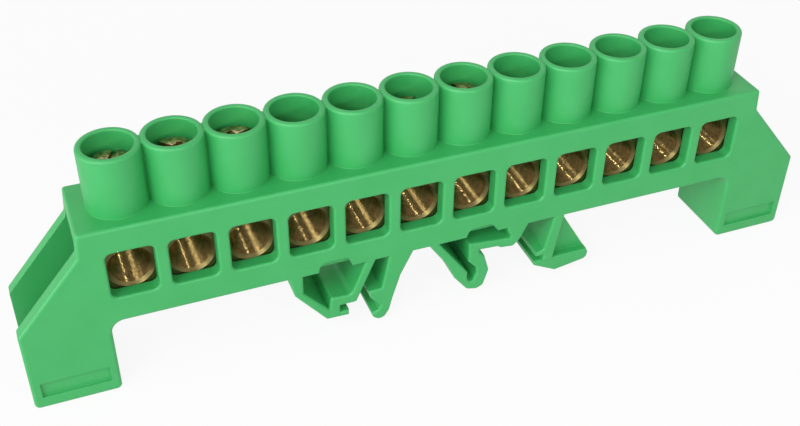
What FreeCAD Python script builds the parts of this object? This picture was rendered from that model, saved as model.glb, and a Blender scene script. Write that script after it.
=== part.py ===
import FreeCAD, Part
import os

from FreeCAD import Vector

# Earth terminal bar: a brass bar with cross bores for the wires, a clamp screw over each bore, and
# a moulded green housing that stands on two hollow legs or snaps on a 35 mm top-hat rail.
# Sizes are in millimetres. X runs along the bar, the wires enter against +Y, and Z is up from the feet.

# Terminals
ways = 12
pitch = 8.7

# Brass bar
bar_depth = 8.0
bar_height = 12.0
bar_past_last_bore = 4.35
bar_edge_chamfer = 0.3
wire_bore_radius = 3.0
wire_bore_above_base = 5.5
wire_bore_chamfer = 0.45

# Clamp screws, M5 with a flat cylinder head
screw_radius = 2.5
screw_length = 11.1
screw_tip_chamfer = 0.5
head_radius = 3.0
head_height = 2.0
head_edge_radius = 0.25
slot_width = 0.8
slot_depth = 0.8
cross_span = 3.4
cross_width = 0.9
cross_depth = 1.3
thread_clearance = 0.05
thread_mouth_chamfer = 0.3
# How far each head stands below the rim of its tower: the screws are backed out by uneven amounts.
head_depths = [2.8, 2.7, 2.8, 4.2, 4.15, 3.4, 2.8, 4.0, 4.15, 3.95, 4.1, 4.0]
# Each head's slot is turned by this many degrees from the one before it.
head_turn_step = 67.0

# Housing body
side_wall = 2.15
bar_side_play = 0.15
bar_head_play = 0.1
floor_thickness = 2.1
roof_thickness = 2.2
end_cover = 2.4
end_draft = 0.3
end_corner_radius = 0.4
outer_edge_radius = 0.5

# Wire windows in the front wall
window_width = 6.8
window_below_bore = 3.25
window_above_bore = 4.6
window_corner_radius = 1.0
window_lip_radius = 0.4

# Screw towers
tower_height = 9.5
tower_bore_radius = 3.5
tower_wall = 0.93
tower_outer_round = 0.45
tower_inner_round = 0.25
web_width = 2.0
web_below_rim = 0.2

# Hollow legs
leg_height = 13.0
leg_spread = 10.2
leg_lap = 0.1
leg_inner_wall = 2.1
leg_floor = 2.1
leg_corner_radius = 2.0
foot_corner_radius = 0.8
slope_drop = 3.8
slope_foot = 14.0
slope_start_round = 1.2
slope_foot_round = 0.5
fixing_hole_radius = 2.1
fixing_hole_inset = 5.3
panel_length = 9.95
panel_height = 2.7
panel_depth = 0.45
panel_above_foot = 2.1
panel_inset = 1.4

# Rail clip, all in one piece with the housing
rail_width = 35.0
rail_channel = 25.0
rail_flange = 1.0
rail_drop = 7.6
rail_play = 0.15
jaw_reach = 1.4
spring_place = 5.4
clip_corner_radius = 0.5
clip_edge_round = 0.4
clip_toe_radius = 1.0
jaw_hollow_radius = 1.0
arch_depth = 1.6
arch_corner_radius = 0.7
brace_setback = 1.95
tail_setback = 0.5

# Worked out from the sizes above
bar_half = (ways - 1) * pitch / 2 + bar_past_last_bore
body_base = leg_height
bar_base = body_base + floor_thickness
bar_top = bar_base + bar_height
ceiling = bar_top + bar_head_play
body_top = ceiling + roof_thickness
rim = body_top + tower_height
bore_height = bar_base + wire_bore_above_base
half_gap = bar_depth / 2 + bar_side_play
half_depth = half_gap + side_wall
body_end = bar_half + end_cover
leg_end = body_end + leg_spread
leg_inside = bar_half - leg_lap
channel_start = leg_inside + leg_inner_wall
tower_radius = tower_bore_radius + tower_wall
way_places = [(i - (ways - 1) / 2) * pitch for i in range(ways)]
# Places on the clip: where the rail's edges and channel wall come, and how far the lips and hooks
# that take its flange lie below the underside of the body.
jaw_edge = -rail_width / 2 - rail_play
latch_edge = rail_width / 2 + rail_play
channel_wall = -rail_channel / 2 + rail_play
lip = rail_drop - rail_play
hook = rail_drop + rail_flange + rail_play
# How far the clip's elements reach up into the floor of the body.
clip_root = floor_thickness - 0.6


def prism(outline, low_y, high_y):
    """A solid with the given outline of (x, z) points, drawn out from one y to the other."""
    corners = [Vector(x, low_y, z) for x, z in outline]
    face = Part.Face(Part.makePolygon(corners + corners[:1]))
    return face.extrude(Vector(0, high_y - low_y, 0))


def block(low, high):
    """A box between two corners."""
    size = [b - a for a, b in zip(low, high)]
    return Part.makeBox(*size, Vector(*low))


def turned(outline, x):
    """A solid of revolution about the vertical line through x, from (radius, z) points."""
    corners = [Vector(x + r, 0, z) for r, z in outline]
    face = Part.Face(Part.makePolygon(corners + corners[:1]))
    return face.revolve(Vector(x, 0, 0), Vector(0, 0, 1), 360)


def rounded(shape, radius, wanted):
    """The shape with a fillet on each edge that passes the test."""
    edges = [e for e in shape.Edges if wanted(e)]
    return shape.makeFillet(radius, edges)


def runs_along_y(edge):
    """Is this edge straight and parallel to Y?"""
    box = edge.BoundBox
    return box.YLength > 0.01 and box.XLength < 0.001 and box.ZLength < 0.001


def near(edge, places, reach=0.05):
    """Does this edge run along Y through one of the (x, z) places?"""
    middle = edge.CenterOfMass
    close = [abs(middle.x - x) < reach and abs(middle.z - z) < reach for x, z in places]
    return runs_along_y(edge) and any(close)


def lies_on_side(edge):
    """Does this edge lie in the front or the back face of the housing?"""
    box = edge.BoundBox
    return box.YLength < 0.001 and abs(abs(box.YMin) - half_depth) < 0.001


def is_ring(edge, radius, height):
    """Is this edge a level circle of this radius at this height?"""
    box = edge.BoundBox
    level = box.ZLength < 0.001 and abs(box.ZMin - height) < 0.001
    return level and abs(box.XLength - 2 * radius) < 0.01


def both_ends(outline):
    """The (x, z) points and their mirror images at the other end."""
    return [(side * x, z) for side in (-1, 1) for x, z in outline]


def body_and_legs():
    """The long box of the body with a sloping gusset and a leg at each end."""
    half = [
        (0.0, body_top),
        (body_end, body_top),
        (body_end + end_draft, body_top - slope_drop),
        (leg_end, slope_foot),
        (leg_end, 0.0),
        (leg_inside, 0.0),
        (leg_inside, body_base),
        (0.0, body_base),
    ]
    other_half = [(-x, z) for x, z in half[1:-1]][::-1]
    solid = prism(half + other_half, -half_depth, half_depth)
    inner_corners = both_ends([(leg_inside, body_base)])
    foot_corners = both_ends([(leg_inside, 0.0), (leg_end, 0.0)])
    top_corners = both_ends([(body_end, body_top)])
    slope_starts = both_ends([(body_end + end_draft, body_top - slope_drop)])
    slope_feet = both_ends([(leg_end, slope_foot)])
    solid = rounded(solid, leg_corner_radius, lambda e: near(e, inner_corners))
    solid = rounded(solid, foot_corner_radius, lambda e: near(e, foot_corners))
    solid = rounded(solid, end_corner_radius, lambda e: near(e, top_corners))
    solid = rounded(solid, slope_start_round, lambda e: near(e, slope_starts))
    solid = rounded(solid, slope_foot_round, lambda e: near(e, slope_feet))
    return rounded(solid, outer_edge_radius, lies_on_side)


def tower(x):
    """One screw tower with a rounded rim, sunk through the roof so that the two fuse."""
    solid = Part.makeCylinder(tower_radius, rim - ceiling, Vector(x, 0, ceiling))
    return rounded(solid, tower_outer_round, lambda e: is_ring(e, tower_radius, rim))


def tower_web(x):
    """The narrow web that joins a tower to the one on its right, up to their rims."""
    low = (x + tower_bore_radius + 0.2, -web_width / 2, body_top - 0.5)
    high = (x + pitch - tower_bore_radius - 0.2, web_width / 2, rim - web_below_rim)
    return block(low, high)


def tower_bore(x):
    """The way down a tower to the bar, with its mouth rounded over."""
    r = tower_inner_round
    wide = tower_bore_radius + r
    low = ceiling - 1.0
    shaft = Part.makeCylinder(tower_bore_radius, rim + 1.0 - low, Vector(x, 0, low))
    mouth = Part.makeCylinder(wide, r + 1.0, Vector(x, 0, rim - r))
    round_over = Part.makeTorus(wide, r, Vector(x, 0, rim - r))
    return shaft.fuse(mouth.cut(round_over)).removeSplitter()


def window(x):
    """The opening in the front wall before one wire bore, with rounded corners."""
    low = (x - window_width / 2, -half_depth - 1.0, bore_height - window_below_bore)
    high = (x + window_width / 2, 0.0, bore_height + window_above_bore)
    return rounded(block(low, high), window_corner_radius, runs_along_y)


def borders_window(edge):
    """Does this edge lie in the front face and go round a window?"""
    box = edge.BoundBox
    on_front = box.YLength < 0.001 and abs(box.YMin + half_depth) < 0.001
    low = bore_height - window_below_bore - 0.01
    high = bore_height + window_above_bore + 0.01
    return on_front and low < box.ZMin and box.ZMax < high and box.XLength < window_width


def bar_way():
    """The tunnel that the bar slides into from one end, under the bridge between the cheeks."""
    far = leg_end + 1.0
    return block((-far, -half_gap, bar_base), (far, half_gap, ceiling))


def leg_channel(side):
    """The hollow of a leg, open outwards so that a screwdriver reaches its floor."""
    ends = sorted((side * channel_start, side * (leg_end + 1.0)))
    return block((ends[0], -half_gap, leg_floor), (ends[1], half_gap, ceiling))


def fixing_hole(side):
    """The screw hole in the floor of a leg."""
    x = side * (leg_end - fixing_hole_inset)
    return Part.makeCylinder(fixing_hole_radius, leg_floor + 2.0, Vector(x, 0, -1.0))


def panel_recess(side):
    """The shallow bare field low on the front of a leg."""
    ends = sorted((side * (leg_end - panel_inset), side * (leg_end - panel_inset - panel_length)))
    low = (ends[0], -half_depth - 1.0, panel_above_foot)
    high = (ends[1], -half_depth + panel_depth, panel_above_foot + panel_height)
    return block(low, high)


def clip_outline(place, points):
    """Turn (distance right of a place, drop below the body) points into (x, z) points."""
    return [(place + x, body_base - drop) for x, drop in points]


def clip_part(place, points, setback=0.0):
    """One element of the clip, as deep as the body less a setback on both sides."""
    half = half_depth - setback
    return prism(clip_outline(place, points), -half, half)


def softened(solid, setback=0.0):
    """An element of the clip with the edges of its front and back faces rounded."""
    half = half_depth - setback

    def on_a_face(edge):
        box = edge.BoundBox
        return box.YLength < 0.001 and abs(abs(box.YMin) - half) < 0.001

    return rounded(solid, clip_edge_round, on_a_face)


def fixed_jaw():
    """The hollow jaw with the lip and the hook that take the rail's left flange."""
    outer = [
        (-8.05, -clip_root), (-8.05, 0.0), (-7.15, 3.5), (-6.45, 4.4), (-2.25, hook + 0.9),
        (jaw_reach, hook + 1.0), (jaw_reach, hook), (0.0, hook), (0.0, lip), (2.65, lip), (5.85, 0.0),
        (5.85, -clip_root),
    ]
    hollow = [(-5.75, 0.0), (-5.75, 3.3), (-1.85, 7.7), (-1.55, 5.5), (1.85, 5.7), (4.25, 0.0)]
    bent = [(-7.15, 3.5), (-6.45, 4.4), (-2.25, hook + 0.9), (2.65, lip), (-1.55, 5.5)]
    knees = clip_outline(jaw_edge, bent)
    bends = clip_outline(jaw_edge, [(1.85, 5.7)])
    solid = clip_part(jaw_edge, outer).cut(clip_part(jaw_edge, hollow))
    solid = rounded(solid, clip_corner_radius, lambda e: near(e, knees))
    return softened(rounded(solid, jaw_hollow_radius, lambda e: near(e, bends)))


def centre_finger():
    """The finger that bears on the inside of the rail, with a nose above and a toe below."""
    points = [
        (2.75, -clip_root), (2.75, 0.0), (1.55, 6.0), (-0.75, 6.0), (-0.25, 7.6), (1.35, lip + 2.05),
        (1.05, lip + 2.85), (0.0, lip + 3.25), (0.0, lip + 4.15), (0.95, lip + 4.9), (2.05, lip + 4.65),
        (2.85, lip + 3.35), (3.45, lip + 0.95), (4.75, 4.1), (6.75, 0.0), (6.75, -clip_root),
    ]
    toe = [(0.0, lip + 4.15), (0.95, lip + 4.9), (2.05, lip + 4.65), (2.85, lip + 3.35)]
    knees = clip_outline(channel_wall, toe)
    return softened(rounded(clip_part(channel_wall, points), clip_toe_radius, lambda e: near(e, knees)))


def spring_loop():
    """The V-shaped spring with the level arm and the strut that carry it back up to the body."""
    points = [
        (-8.2, -clip_root), (-8.2, 0.0), (-5.2, 4.4), (-3.7, 7.7), (-1.4, lip + 3.25), (0.3, lip + 3.65),
        (1.5, lip + 3.15), (2.35, 7.6), (1.4, 4.4), (0.5, 3.5), (0.5, 3.0), (3.6, 3.2), (4.2, 3.6),
        (6.4, 3.85), (7.5, 2.8), (8.9, 0.0), (8.9, -clip_root), (5.2, -clip_root), (5.2, 0.4), (5.8, 1.6),
        (5.8, 2.0), (-0.4, 1.4), (-1.5, 1.2), (-1.4, 5.0), (0.0, 6.5), (0.1, 7.8), (-0.4, lip + 1.75),
        (-1.0, lip + 1.75), (-1.4, lip + 0.95), (-1.4, 7.1), (-6.5, 0.0), (-6.5, -clip_root),
    ]
    toe = clip_outline(spring_place, [(-1.4, lip + 3.25), (0.3, lip + 3.65), (1.5, lip + 3.15), (2.35, 7.6)])
    knees = clip_outline(spring_place, [(1.4, 4.4), (-3.7, 7.7), (4.2, 3.6), (6.4, 3.85), (7.5, 2.8)])
    solid = rounded(clip_part(spring_place, points), clip_toe_radius, lambda e: near(e, toe))
    return softened(rounded(solid, clip_corner_radius, lambda e: near(e, knees)))


def latch():
    """The sprung jaw with its lip, the hook and the tail that a screwdriver pulls back."""
    wall = [
        (1.25, -clip_root), (1.25, 0.0), (-0.05, 6.2), (-1.25, 6.7), (-1.35, lip), (0.0, lip),
        (0.0, hook), (1.75, hook), (1.85, lip + 0.8), (3.15, 0.0), (3.15, -clip_root),
    ]
    tail = [
        (-jaw_reach, hook), (8.45, hook), (8.85, hook + 0.85), (8.65, hook + 1.75), (8.15, hook + 2.15),
        (2.75, hook + 3.05), (-jaw_reach + 0.2, hook + 1.0),
    ]
    brace = [(1.35, -clip_root), (3.05, 0.0), (8.55, hook + 0.2), (1.35, hook + 0.2)]
    solid = softened(clip_part(latch_edge, wall))
    foot = softened(clip_part(latch_edge, tail, tail_setback), tail_setback)
    return solid.fuse([foot, clip_part(latch_edge, brace, brace_setback)]).removeSplitter()


def arches():
    """The arches that the clip's hollows leave in the foot of the front and the back wall."""
    over_jaw = clip_outline(jaw_edge, [(-3.35, 0.0), (-3.15, -1.2), (-2.35, -1.9), (1.35, -1.9), (2.15, 0.0)])
    over_arm = clip_outline(spring_place, [(-2.1, 0.0), (-1.7, -1.3), (-0.9, -1.8), (2.3, -1.8), (3.6, 0.0)])
    inner = half_depth - arch_depth
    outer = half_depth + 1.0
    tools = []
    for outline in (over_jaw, over_arm):
        for low, high in ((-outer, -inner), (inner, outer)):
            tool = prism(outline, low, high)
            tools.append(rounded(tool, arch_corner_radius, lambda e: near(e, outline[1:-1])))
    return tools


def housing():
    """The one-piece moulding."""
    solid = body_and_legs().cut([window(x) for x in way_places])
    solid = rounded(solid, window_lip_radius, borders_window)
    solid = solid.fuse([fixed_jaw(), centre_finger(), spring_loop(), latch()])
    solid = solid.fuse([tower(x) for x in way_places] + [tower_web(x) for x in way_places[:-1]])
    solid = solid.cut(arches())
    solid = solid.cut([bar_way()] + [leg_channel(side) for side in (-1, 1)])
    solid = solid.cut([tower_bore(x) for x in way_places])
    solid = solid.cut([fixing_hole(side) for side in (-1, 1)])
    solid = solid.cut([panel_recess(side) for side in (-1, 1)])
    return solid.removeSplitter()


def wire_bore(x):
    """A cross bore with a chamfer at both faces of the bar, as a tool to cut with."""
    r = wire_bore_radius
    c = wire_bore_chamfer
    half = bar_depth / 2
    wide = r + c + 1.0
    outline = [
        (0, -half - 1), (wide, -half - 1), (r, -half + c), (r, half - c), (wide, half + 1), (0, half + 1),
    ]
    tool = turned(outline, 0.0)
    tool.rotate(Vector(0, 0, 0), Vector(1, 0, 0), 90)
    tool.translate(Vector(x, 0, bore_height))
    return tool


def screw_hole(x):
    """The threaded hole from the top of the bar down to the wire bore, at its full thread radius."""
    r = screw_radius + thread_clearance
    c = thread_mouth_chamfer
    outline = [
        (0, bore_height), (r, bore_height), (r, bar_top - c), (r + c + 1, bar_top + 1), (0, bar_top + 1),
    ]
    return turned(outline, x)


def busbar():
    """The brass bar."""
    solid = block((-bar_half, -bar_depth / 2, bar_base), (bar_half, bar_depth / 2, bar_top))
    solid = solid.makeChamfer(bar_edge_chamfer, solid.Edges)
    solid = solid.cut([wire_bore(x) for x in way_places])
    return solid.cut([screw_hole(x) for x in way_places])


def clamp_screw(x, head_depth, turn):
    """One clamp screw with a slot and a cross in its head, at its height in its tower."""
    top = rim - head_depth
    neck = top - head_height
    tip = top - screw_length
    outline = [
        (0, tip), (screw_radius - screw_tip_chamfer, tip), (screw_radius, tip + screw_tip_chamfer),
        (screw_radius, neck), (head_radius, neck), (head_radius, top), (0, top),
    ]
    solid = rounded(turned(outline, x), head_edge_radius, lambda e: is_ring(e, head_radius, top))
    wide = head_radius + 1.0
    slot = block((x - wide, -slot_width / 2, top - slot_depth), (x + wide, slot_width / 2, top + 1))
    low = (x - cross_span / 2, -cross_width / 2, top - cross_depth)
    arm = block(low, (x + cross_span / 2, cross_width / 2, top + 1))
    cross_arm = arm.copy()
    cross_arm.rotate(Vector(x, 0, 0), Vector(0, 0, 1), 90)
    solid = solid.cut([slot, arm, cross_arm])
    solid.rotate(Vector(x, 0, 0), Vector(0, 0, 1), turn)
    return solid


os.makedirs("parts", exist_ok=True)
nodes = {"housing": housing(), "busbar": busbar()}
for number, (x, depth) in enumerate(zip(way_places, head_depths), start=1):
    nodes[f"screw_{number:02d}"] = clamp_screw(x, depth, number * head_turn_step)
for name, shape in nodes.items():
    shape.exportStep(f"parts/{name}.step")
    print(name, shape.isValid(), len(shape.Solids), round(shape.Volume, 2))
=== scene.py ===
import math

import bmesh
import bpy
from mathutils import Matrix, Vector


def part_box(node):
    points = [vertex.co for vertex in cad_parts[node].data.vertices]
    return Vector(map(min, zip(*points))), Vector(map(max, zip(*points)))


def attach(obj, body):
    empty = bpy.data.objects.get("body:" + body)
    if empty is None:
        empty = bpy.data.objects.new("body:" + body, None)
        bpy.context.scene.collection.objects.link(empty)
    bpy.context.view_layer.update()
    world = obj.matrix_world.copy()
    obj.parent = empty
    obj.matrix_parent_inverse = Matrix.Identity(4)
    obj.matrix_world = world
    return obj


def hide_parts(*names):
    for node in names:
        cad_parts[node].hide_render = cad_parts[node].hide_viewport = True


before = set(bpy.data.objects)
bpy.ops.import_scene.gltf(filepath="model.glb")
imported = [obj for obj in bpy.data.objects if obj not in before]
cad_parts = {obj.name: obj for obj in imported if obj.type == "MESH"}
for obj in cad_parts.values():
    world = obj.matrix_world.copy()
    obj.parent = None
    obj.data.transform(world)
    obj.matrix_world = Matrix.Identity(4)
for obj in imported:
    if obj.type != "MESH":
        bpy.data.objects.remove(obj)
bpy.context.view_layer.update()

# The view: an eye a hand's width off the left end of the bar, looking down and along the row of
# towers. The figures are where it stands over the feet, its heading, its tilt and its lens.
eye_place = Vector((-0.0580, -0.13099, 0.12315))
eye_heading = math.radians(21.857)
eye_tilt = math.radians(37.202)
eye_roll = math.radians(0.868)
eye_lens = 50.70
eye_nearest = 0.005

ahead = Vector((
    math.sin(eye_heading) * math.cos(eye_tilt),
    math.cos(eye_heading) * math.cos(eye_tilt),
    -math.sin(eye_tilt),
))
level_right = Vector((math.cos(eye_heading), -math.sin(eye_heading), 0.0))
level_up = level_right.cross(ahead)
eye_right = level_right * math.cos(eye_roll) + level_up * math.sin(eye_roll)
eye_up = level_up * math.cos(eye_roll) - level_right * math.sin(eye_roll)
eye_data = bpy.data.cameras.new("eye")
eye_data.lens = eye_lens
eye_data.clip_start = eye_nearest
eye = bpy.data.objects.new("eye", eye_data)
eye_turn = Matrix((eye_right, eye_up, -ahead)).transposed().to_4x4()
eye.matrix_world = Matrix.Translation(eye_place) @ eye_turn
bpy.context.scene.collection.objects.link(eye)
bpy.context.scene.camera = eye

# The studio: a white paper floor in a white room, a broad soft lamp to the left and in front, another
# low at the left, and two small lamps on either side of the eye that draw lines in the bores.
room_strength = 0.48
room_seen_strength = 1.0
key_power = 9.0
key_size = 0.60
key_place = Vector((-0.86, -0.72, 0.98))
side_power = 4.6
side_size = 0.60
side_place = Vector((-0.90, -0.20, 0.16))
left_lamp_power = 0.075
left_lamp_size = 0.05
left_lamp_place = Vector((-0.085, -0.165, 0.12))
right_lamp_power = 0.055
right_lamp_size = 0.008
right_lamp_place = Vector((0.023, -0.163, 0.105))
lamp_aim = Vector((0.0, 0.0, 0.02))
white = (1.0, 1.0, 1.0, 1.0)
paper_size = 3.0
paper_colour = (0.78, 0.78, 0.78, 1.0)
paper_roughness = 0.9
paper_specular = 0.1
paper_glow_share = 0.90


def soft_lamp(name, power, size, place):
    """A square area lamp at a place, turned towards the middle of the bar."""
    data = bpy.data.lights.new(name, "AREA")
    data.energy = power
    data.size = size
    lamp = bpy.data.objects.new(name, data)
    lamp.location = place
    lamp.rotation_mode = "QUATERNION"
    lamp.rotation_quaternion = (lamp_aim - place).to_track_quat("-Z", "Y")
    bpy.context.scene.collection.objects.link(lamp)


def seen_or_mirrored(tree):
    """A value that is 1 on rays from the eye and in reflections and clear bodies, and 0 elsewhere."""
    path = tree.nodes.new("ShaderNodeLightPath")
    seen = path.outputs["Is Camera Ray"]
    for kind in ("Is Glossy Ray", "Is Transmission Ray"):
        larger = tree.nodes.new("ShaderNodeMath")
        larger.operation = "MAXIMUM"
        tree.links.new(seen, larger.inputs[0])
        tree.links.new(path.outputs[kind], larger.inputs[1])
        seen = larger.outputs[0]
    return seen


soft_lamp("key_lamp", key_power, key_size, key_place)
soft_lamp("side_lamp", side_power, side_size, side_place)
soft_lamp("left_lamp", left_lamp_power, left_lamp_size, left_lamp_place)
soft_lamp("right_lamp", right_lamp_power, right_lamp_size, right_lamp_place)

bpy.context.scene.view_settings.view_transform = "Standard"
room = bpy.data.worlds.new("room")
bpy.context.scene.world = room
room.use_nodes = True
room_nodes = room.node_tree.nodes
room_nodes.clear()
room_lit = room_nodes.new("ShaderNodeBackground")
room_lit.inputs["Color"].default_value = white
room_lit.inputs["Strength"].default_value = room_strength
room_seen = room_nodes.new("ShaderNodeBackground")
room_seen.inputs["Color"].default_value = white
room_seen.inputs["Strength"].default_value = room_seen_strength
room_mix = room_nodes.new("ShaderNodeMixShader")
room_out = room_nodes.new("ShaderNodeOutputWorld")
room.node_tree.links.new(seen_or_mirrored(room.node_tree), room_mix.inputs[0])
room.node_tree.links.new(room_lit.outputs[0], room_mix.inputs[1])
room.node_tree.links.new(room_seen.outputs[0], room_mix.inputs[2])
room.node_tree.links.new(room_mix.outputs[0], room_out.inputs[0])

paper_mesh = bpy.data.meshes.new("paper")
half = paper_size / 2
corners = [(-half, -half, 0), (half, -half, 0), (half, half, 0), (-half, half, 0)]
paper_mesh.from_pydata(corners, [], [(0, 1, 2, 3)])
paper = bpy.data.objects.new("paper", paper_mesh)
bpy.context.scene.collection.objects.link(paper)
paper_finish = bpy.data.materials.new("white_paper")
paper_finish.use_nodes = True
paper_tree = paper_finish.node_tree
paper_shader = paper_tree.nodes["Principled BSDF"]
paper_shader.inputs["Base Color"].default_value = paper_colour
paper_shader.inputs["Roughness"].default_value = paper_roughness
paper_shader.inputs["Specular IOR Level"].default_value = paper_specular
paper_glow = paper_tree.nodes.new("ShaderNodeEmission")
paper_glow.inputs["Color"].default_value = white
paper_share = paper_tree.nodes.new("ShaderNodeMath")
paper_share.operation = "MULTIPLY"
paper_share.inputs[1].default_value = paper_glow_share
paper_mix = paper_tree.nodes.new("ShaderNodeMixShader")
paper_tree.links.new(seen_or_mirrored(paper_tree), paper_share.inputs[0])
paper_tree.links.new(paper_share.outputs[0], paper_mix.inputs[0])
paper_tree.links.new(paper_shader.outputs[0], paper_mix.inputs[1])
paper_tree.links.new(paper_glow.outputs[0], paper_mix.inputs[2])
paper_tree.links.new(paper_mix.outputs[0], paper_tree.nodes["Material Output"].inputs[0])
paper_mesh.materials.append(paper_finish)

# The housing: one injection moulding in green polyamide, with satin outer faces straight from the
# tool. Body, screw towers, hollow legs and the sprung clip all belong to it.
green = (0.030, 0.365, 0.091, 1.0)
green_pale = (0.038, 0.386, 0.104, 1.0)
cloud_size = 0.006
green_roughness = 0.48
roughness_spread = 0.05
patch_size = 0.0012
green_specular = 0.62
edge_softness = 0.00022
edge_samples = 6
grain_size = 0.00012
grain_height = 0.000004
noise_low = 0.3
noise_high = 0.7
even_detail = 1.0
uneven_detail = 3.0


def start_material(name):
    """A new material with its tree and its main shader."""
    material = bpy.data.materials.new(name)
    material.use_nodes = True
    tree = material.node_tree
    return material, tree, tree.nodes["Principled BSDF"]


def object_noise(tree, size, detail=2.0, stretch=(1.0, 1.0, 1.0)):
    """Noise in the piece's own space, with blobs of about this size in metres."""
    place = tree.nodes.new("ShaderNodeTexCoord")
    mapping = tree.nodes.new("ShaderNodeMapping")
    mapping.inputs["Scale"].default_value = stretch
    noise = tree.nodes.new("ShaderNodeTexNoise")
    noise.inputs["Scale"].default_value = 1.0 / size
    noise.inputs["Detail"].default_value = detail
    tree.links.new(place.outputs["Object"], mapping.inputs["Vector"])
    tree.links.new(mapping.outputs["Vector"], noise.inputs["Vector"])
    return noise.outputs["Fac"]


def feed(tree, value, socket):
    """Feeds a socket from another one, or sets it to a plain value."""
    if isinstance(value, bpy.types.NodeSocket):
        tree.links.new(value, socket)
    else:
        socket.default_value = value


def remap(tree, value, given, wanted):
    """A value that runs over the wanted span as another runs over the given one."""
    spread = tree.nodes.new("ShaderNodeMapRange")
    feed(tree, value, spread.inputs["Value"])
    feed(tree, given[0], spread.inputs["From Min"])
    feed(tree, given[1], spread.inputs["From Max"])
    feed(tree, wanted[0], spread.inputs["To Min"])
    feed(tree, wanted[1], spread.inputs["To Max"])
    return spread.outputs["Result"]


def between(tree, noise, low, high):
    """A value that runs from low to high over the part of its range that noise mostly keeps to."""
    return remap(tree, noise, (noise_low, noise_high), (low, high))


def blend_colours(tree, factor, first, second):
    """A colour between two others; each is either a colour or a socket."""
    mix = tree.nodes.new("ShaderNodeMix")
    mix.data_type = "RGBA"
    feed(tree, factor, mix.inputs["Factor"])
    feed(tree, first, mix.inputs["A"])
    feed(tree, second, mix.inputs["B"])
    return mix.outputs["Result"]


def bump(tree, shader, height, depth, before=None):
    """Raises the shader's normal by a height of 0 to 1 times a depth in metres."""
    raise_up = tree.nodes.new("ShaderNodeBump")
    raise_up.inputs["Distance"].default_value = depth
    tree.links.new(height, raise_up.inputs["Height"])
    if before is not None:
        tree.links.new(before, raise_up.inputs["Normal"])
    tree.links.new(raise_up.outputs["Normal"], shader.inputs["Normal"])


moulded, moulded_tree, moulded_shader = start_material("moulded_green")
cloudy = between(moulded_tree, object_noise(moulded_tree, cloud_size), 0.0, 1.0)
clouded = blend_colours(moulded_tree, cloudy, green, green_pale)
feed(moulded_tree, clouded, moulded_shader.inputs["Base Color"])
patchy = between(
    moulded_tree, object_noise(moulded_tree, patch_size, uneven_detail),
    green_roughness - roughness_spread, green_roughness + roughness_spread)
feed(moulded_tree, patchy, moulded_shader.inputs["Roughness"])
moulded_shader.inputs["Specular IOR Level"].default_value = green_specular
soft_edges = moulded_tree.nodes.new("ShaderNodeBevel")
soft_edges.samples = edge_samples
soft_edges.inputs["Radius"].default_value = edge_softness
grain = object_noise(moulded_tree, grain_size, even_detail)
bump(moulded_tree, moulded_shader, grain, grain_height, soft_edges.outputs["Normal"])

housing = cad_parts["housing"]
housing.data.materials.clear()
housing.data.materials.append(moulded)

# The bar: drawn brass, sawn to length, cross-drilled and tapped. Its bores keep the rings of the
# drill, so light runs along them in lines, and their walls are tarnished and pitted. Its flat front
# and the chamfers get a painted shade: a dull dark olive that also stands for a painted reflection of
# the green housing.
brass = (0.36, 0.215, 0.085, 1.0)
tarnish = (0.11, 0.055, 0.020, 1.0)
blotch_size = 0.0010
blotch_detail = 4.0
brass_metallic = 0.9
brass_roughness = 0.33
pit_colour = (0.06, 0.037, 0.018, 1.0)
pit_spacing = 0.0011
pit_heart = 0.06
pit_rim = 0.22
pit_strength = 0.70
dent_size = 0.0004
dent_depth = 0.00002
# Painted shade: the dark olive laid on faces turned to the front, in place of shadow and of a
# reflection of the green housing.
painted_front_shade = (0.105, 0.098, 0.034, 1.0)
front_shade_starts_at = -0.45
front_shade_full_at = -0.78
ring_glint = (1.0, 0.69, 0.24, 1.0)
ring_roughness = 0.14
ring_spacing = 0.00004
ring_run = (0.02, 1.0, 0.02)
ring_lean_low = 0.9
ring_lean_high = 1.6
ring_patch_size = 0.00025
ring_share_low = 0.02
ring_share_high = 0.13


def tilt_normal(tree, vector, amount):
    """The surface normal, leaning by an amount times a vector; both are sockets."""
    surface = tree.nodes.new("ShaderNodeNewGeometry")
    lean = tree.nodes.new("ShaderNodeVectorMath")
    lean.operation = "MULTIPLY_ADD"
    tree.links.new(vector, lean.inputs[0])
    tree.links.new(amount, lean.inputs[1])
    tree.links.new(surface.outputs["Normal"], lean.inputs[2])
    unit = tree.nodes.new("ShaderNodeVectorMath")
    unit.operation = "NORMALIZE"
    tree.links.new(lean.outputs[0], unit.inputs[0])
    return unit.outputs[0]


drawn, drawn_tree, drawn_shader = start_material("drawn_brass")
drawn_shader.inputs["Metallic"].default_value = brass_metallic
drawn_shader.inputs["Roughness"].default_value = brass_roughness
blotch = between(drawn_tree, object_noise(drawn_tree, blotch_size, blotch_detail), 0.0, 1.0)
worn = blend_colours(drawn_tree, blotch, brass, tarnish)
pits = drawn_tree.nodes.new("ShaderNodeTexVoronoi")
pits.inputs["Scale"].default_value = 1.0 / pit_spacing
feed(drawn_tree, drawn_tree.nodes.new("ShaderNodeTexCoord").outputs["Object"], pits.inputs["Vector"])
in_pit = remap(drawn_tree, pits.outputs["Distance"], (pit_heart, pit_rim), (pit_strength, 0.0))
pitted = blend_colours(drawn_tree, in_pit, worn, pit_colour)
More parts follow.
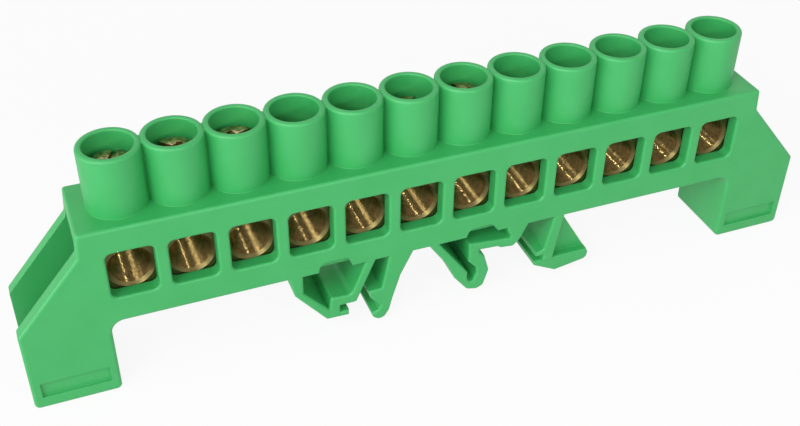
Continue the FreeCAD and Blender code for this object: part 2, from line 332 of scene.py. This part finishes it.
# The more a face turns to the front, the more of the painted shade it gets, whatever the light does.
facing = drawn_tree.nodes.new("ShaderNodeSeparateXYZ")
feed(drawn_tree, drawn_tree.nodes.new("ShaderNodeNewGeometry").outputs["Normal"], facing.inputs[0])
on_front = remap(drawn_tree, facing.outputs["Y"], (front_shade_starts_at, front_shade_full_at), (0.0, 1.0))
front_shaded = blend_colours(drawn_tree, on_front, pitted, painted_front_shade)
feed(drawn_tree, front_shaded, drawn_shader.inputs["Base Color"])
bump(drawn_tree, drawn_shader, object_noise(drawn_tree, dent_size, uneven_detail), dent_depth)
along_bore = drawn_tree.nodes.new("ShaderNodeCombineXYZ")
along_bore.inputs["Y"].default_value = -1.0
ring_noise = object_noise(drawn_tree, ring_spacing, even_detail, stretch=ring_run)
ring_lean = between(drawn_tree, ring_noise, ring_lean_low, ring_lean_high)
ringed = drawn_tree.nodes.new("ShaderNodeBsdfAnisotropic")
ringed.inputs["Color"].default_value = ring_glint
ringed.inputs["Roughness"].default_value = ring_roughness
feed(drawn_tree, tilt_normal(drawn_tree, along_bore.outputs[0], ring_lean), ringed.inputs["Normal"])
ring_patchy = object_noise(drawn_tree, ring_patch_size, uneven_detail)
ring_patches = between(drawn_tree, ring_patchy, ring_share_low, ring_share_high)
off_front = remap(drawn_tree, on_front, (0.0, 1.0), (ring_patches, 0.0))
out_of_pits = remap(drawn_tree, in_pit, (0.0, 1.0), (off_front, 0.0))
ring_share = drawn_tree.nodes.new("ShaderNodeMixShader")
feed(drawn_tree, out_of_pits, ring_share.inputs[0])
feed(drawn_tree, drawn_shader.outputs[0], ring_share.inputs[1])
feed(drawn_tree, ringed.outputs[0], ring_share.inputs[2])
feed(drawn_tree, ring_share.outputs[0], drawn_tree.nodes["Material Output"].inputs[0])

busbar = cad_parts["busbar"]
busbar.data.materials.clear()
busbar.data.materials.append(drawn)

# The clamp screws: M5 screws in yellow-plated steel, with cylinder heads that take a plain or a
# cross blade. One is turned from a blank and a threaded shank, then set in each way at its height.
head_radius = 0.0030
head_height = 0.0020
head_round = 0.00025
foot_chamfer = 0.0001
slot_length = 0.01
slot_width = 0.0008
slot_depth = 0.0008
cross_span = 0.0034
cross_width = 0.0009
cross_depth = 0.0013
recess_softness = 0.00005
recess_segments = 2
recess_angle = math.radians(40)
shank_radius = 0.0025
screw_length = 0.0111
thread_pitch = 0.0008
thread_depth = 0.00042
thread_start = 0.0007
screw_count = 12
turn_step = math.radians(67)
crease_angle = math.radians(35)
head_sides = 72
round_steps = 4
shank_sides = 40
shank_bands = 96
flank_slope = 2.6
crest_width = 0.25
plated = (0.64, 0.52, 0.27, 1.0)
plating_worn = (0.16, 0.12, 0.05, 1.0)
rub_size = 0.0007
plating_metallic = 0.95
sheen_size = 0.0005
sheen_low = 0.12
sheen_high = 0.28
ripple_size = 0.00035
ripple_depth = 0.00009

passivated, passivated_tree, passivated_shader = start_material("yellow_plating")
passivated_shader.inputs["Metallic"].default_value = plating_metallic
rubbed = between(passivated_tree, object_noise(passivated_tree, rub_size, uneven_detail), 0.0, 1.0)
plating = blend_colours(passivated_tree, rubbed, plated, plating_worn)
feed(passivated_tree, plating, passivated_shader.inputs["Base Color"])
mottled = object_noise(passivated_tree, sheen_size, uneven_detail)
sheen = between(passivated_tree, mottled, sheen_low, sheen_high)
feed(passivated_tree, sheen, passivated_shader.inputs["Roughness"])
rippled = object_noise(passivated_tree, ripple_size, uneven_detail)
bump(passivated_tree, passivated_shader, rippled, ripple_depth)

head_mesh = bpy.data.meshes.new("screw_head")
head = bmesh.new()
profile = [(head_radius - foot_chamfer, -head_height), (head_radius, -head_height + foot_chamfer)]
for step in range(round_steps + 1):
    angle = math.radians(90 * step / round_steps)
    inwards = head_round * (1 - math.cos(angle))
    profile.append((head_radius - inwards, -head_round * (1 - math.sin(angle))))
hoops = []
for radius, height in profile:
    hoop = []
    for step in range(head_sides):
        angle = math.tau * step / head_sides
        hoop.append(head.verts.new((radius * math.cos(angle), radius * math.sin(angle), height)))
    hoops.append(hoop)
for lower, upper in zip(hoops, hoops[1:]):
    for step in range(head_sides):
        after = (step + 1) % head_sides
        head.faces.new((lower[step], lower[after], upper[after], upper[step]))
head.faces.new(list(reversed(hoops[0])))
head.faces.new(hoops[-1])
head.to_mesh(head_mesh)
head.free()
blank = bpy.data.objects.new("screw_head", head_mesh)
bpy.context.scene.collection.objects.link(blank)


def cutter(name, length, width, depth):
    """A block that reaches down from above the head's top, along X, to cut a slot in it."""
    mesh = bpy.data.meshes.new(name)
    shape = bmesh.new()
    bmesh.ops.create_cube(shape, size=1.0)
    bmesh.ops.scale(shape, vec=(length, width, depth * 2), verts=shape.verts)
    shape.to_mesh(mesh)
    shape.free()
    tool = bpy.data.objects.new(name, mesh)
    bpy.context.scene.collection.objects.link(tool)
    cut = blank.modifiers.new(name, "BOOLEAN")
    cut.operation = "DIFFERENCE"
    cut.solver = "EXACT"
    cut.object = tool
    return tool


tools = [
    cutter("cross_arm", cross_span, cross_width, cross_depth),
    cutter("cross_arm_over", cross_width, cross_span, cross_depth),
    cutter("slot", slot_length, slot_width, slot_depth),
]
soften = blank.modifiers.new("soften", "BEVEL")
soften.width = recess_softness
soften.segments = recess_segments
soften.limit_method = "ANGLE"
soften.angle_limit = recess_angle

screw_tree = bpy.data.node_groups.new("clamp_screw", "GeometryNodeTree")


def reckon(operation, first, second):
    """One step of arithmetic on two values in the screw's tree."""
    step = screw_tree.nodes.new("ShaderNodeMath")
    step.operation = operation
    feed(screw_tree, first, step.inputs[0])
    feed(screw_tree, second, step.inputs[1])
    return step.outputs[0]


screw_tree.interface.new_socket(name="Head", in_out="INPUT", socket_type="NodeSocketGeometry")
screw_inputs = {}
for name, kind in (
    ("Place", "Vector"), ("Turn", "Float"), ("Finish", "Material"), ("Shank radius", "Float"),
    ("Length", "Float"), ("Head height", "Float"), ("Pitch", "Float"), ("Thread depth", "Float"),
    ("Thread start", "Float"),
):
    entry = screw_tree.interface.new_socket(name=name, in_out="INPUT", socket_type="NodeSocket" + kind)
    screw_inputs[name] = entry.identifier
screw_tree.interface.new_socket(name="Screw", in_out="OUTPUT", socket_type="NodeSocketGeometry")
given = screw_tree.nodes.new("NodeGroupInput").outputs
shank_length = reckon("SUBTRACT", given["Length"], given["Head height"])
shank = screw_tree.nodes.new("GeometryNodeMeshCylinder")
shank.inputs["Vertices"].default_value = shank_sides
shank.inputs["Side Segments"].default_value = shank_bands
feed(screw_tree, given["Shank radius"], shank.inputs["Radius"])
feed(screw_tree, shank_length, shank.inputs["Depth"])
where = screw_tree.nodes.new("ShaderNodeSeparateXYZ")
feed(screw_tree, screw_tree.nodes.new("GeometryNodeInputPosition").outputs[0], where.inputs[0])
along_x, along_y, along_z = where.outputs
round_angle = reckon("ARCTAN2", along_y, along_x)
turns = reckon("DIVIDE", along_z, given["Pitch"])
phase = reckon("SUBTRACT", turns, reckon("DIVIDE", round_angle, math.tau))
flank = reckon("MULTIPLY", reckon("PINGPONG", phase, 0.5), flank_slope)
below_crest = reckon("MAXIMUM", reckon("SUBTRACT", flank, crest_width), 0.0)
groove = reckon("MULTIPLY", reckon("MINIMUM", below_crest, 1.0), given["Thread depth"])
threaded = reckon("SUBTRACT", given["Shank radius"], groove)
from_tip = reckon("ADD", along_z, reckon("MULTIPLY", shank_length, 0.5))
tip_radius = reckon("SUBTRACT", given["Shank radius"], given["Thread start"])
pointed = reckon("ADD", tip_radius, from_tip)
share = reckon("DIVIDE", reckon("MINIMUM", threaded, pointed), given["Shank radius"])
moved = screw_tree.nodes.new("ShaderNodeCombineXYZ")
feed(screw_tree, reckon("MULTIPLY", along_x, share), moved.inputs["X"])
feed(screw_tree, reckon("MULTIPLY", along_y, share), moved.inputs["Y"])
feed(screw_tree, along_z, moved.inputs["Z"])
cut_thread = screw_tree.nodes.new("GeometryNodeSetPosition")
feed(screw_tree, shank.outputs["Mesh"], cut_thread.inputs["Geometry"])
feed(screw_tree, moved.outputs[0], cut_thread.inputs["Position"])
hang = screw_tree.nodes.new("ShaderNodeCombineXYZ")
half_height = reckon("MULTIPLY", reckon("ADD", given["Length"], given["Head height"]), -0.5)
feed(screw_tree, half_height, hang.inputs["Z"])
lower_shank = screw_tree.nodes.new("GeometryNodeTransform")
feed(screw_tree, cut_thread.outputs[0], lower_shank.inputs["Geometry"])
feed(screw_tree, hang.outputs[0], lower_shank.inputs["Translation"])
joined = screw_tree.nodes.new("GeometryNodeJoinGeometry")
feed(screw_tree, given["Head"], joined.inputs[0])
feed(screw_tree, lower_shank.outputs[0], joined.inputs[0])
turned = screw_tree.nodes.new("ShaderNodeCombineXYZ")
feed(screw_tree, given["Turn"], turned.inputs["Z"])
seated = screw_tree.nodes.new("GeometryNodeTransform")
feed(screw_tree, joined.outputs[0], seated.inputs["Geometry"])
feed(screw_tree, given["Place"], seated.inputs["Translation"])
feed(screw_tree, turned.outputs[0], seated.inputs["Rotation"])
real = screw_tree.nodes.new("GeometryNodeRealizeInstances")
feed(screw_tree, seated.outputs[0], real.inputs[0])
finish = screw_tree.nodes.new("GeometryNodeSetMaterial")
feed(screw_tree, real.outputs[0], finish.inputs["Geometry"])
feed(screw_tree, given["Finish"], finish.inputs["Material"])
feed(screw_tree, finish.outputs[0], screw_tree.nodes.new("NodeGroupOutput").inputs[0])

set_screw = blank.modifiers.new("set", "NODES")
set_screw.node_group = screw_tree
for name, value in (
    ("Shank radius", shank_radius), ("Length", screw_length), ("Head height", head_height),
    ("Pitch", thread_pitch), ("Thread depth", thread_depth), ("Thread start", thread_start),
    ("Finish", passivated),
):
    set_screw[screw_inputs[name]] = value

screw_meshes = {}
for number in range(1, screw_count + 1):
    low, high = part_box(f"screw_{number:02d}")
    set_screw[screw_inputs["Place"]] = ((low[0] + high[0]) / 2, (low[1] + high[1]) / 2, high[2])
    set_screw[screw_inputs["Turn"]] = number * turn_step
    blank.update_tag()
    seen = blank.evaluated_get(bpy.context.evaluated_depsgraph_get())
    screw_meshes[number] = bpy.data.meshes.new_from_object(seen)
blank.modifiers.clear()
for spare in [blank] + tools:
    bpy.data.objects.remove(spare)
for number, mesh in screw_meshes.items():
    mesh.shade_smooth()
    mesh.set_sharp_from_angle(angle=crease_angle)
    piece = bpy.data.objects.new(f"clamp_screw_{number:02d}", mesh)
    bpy.context.scene.collection.objects.link(piece)
    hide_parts(f"screw_{number:02d}")
    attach(piece, f"clamp_screw_{number:02d}")
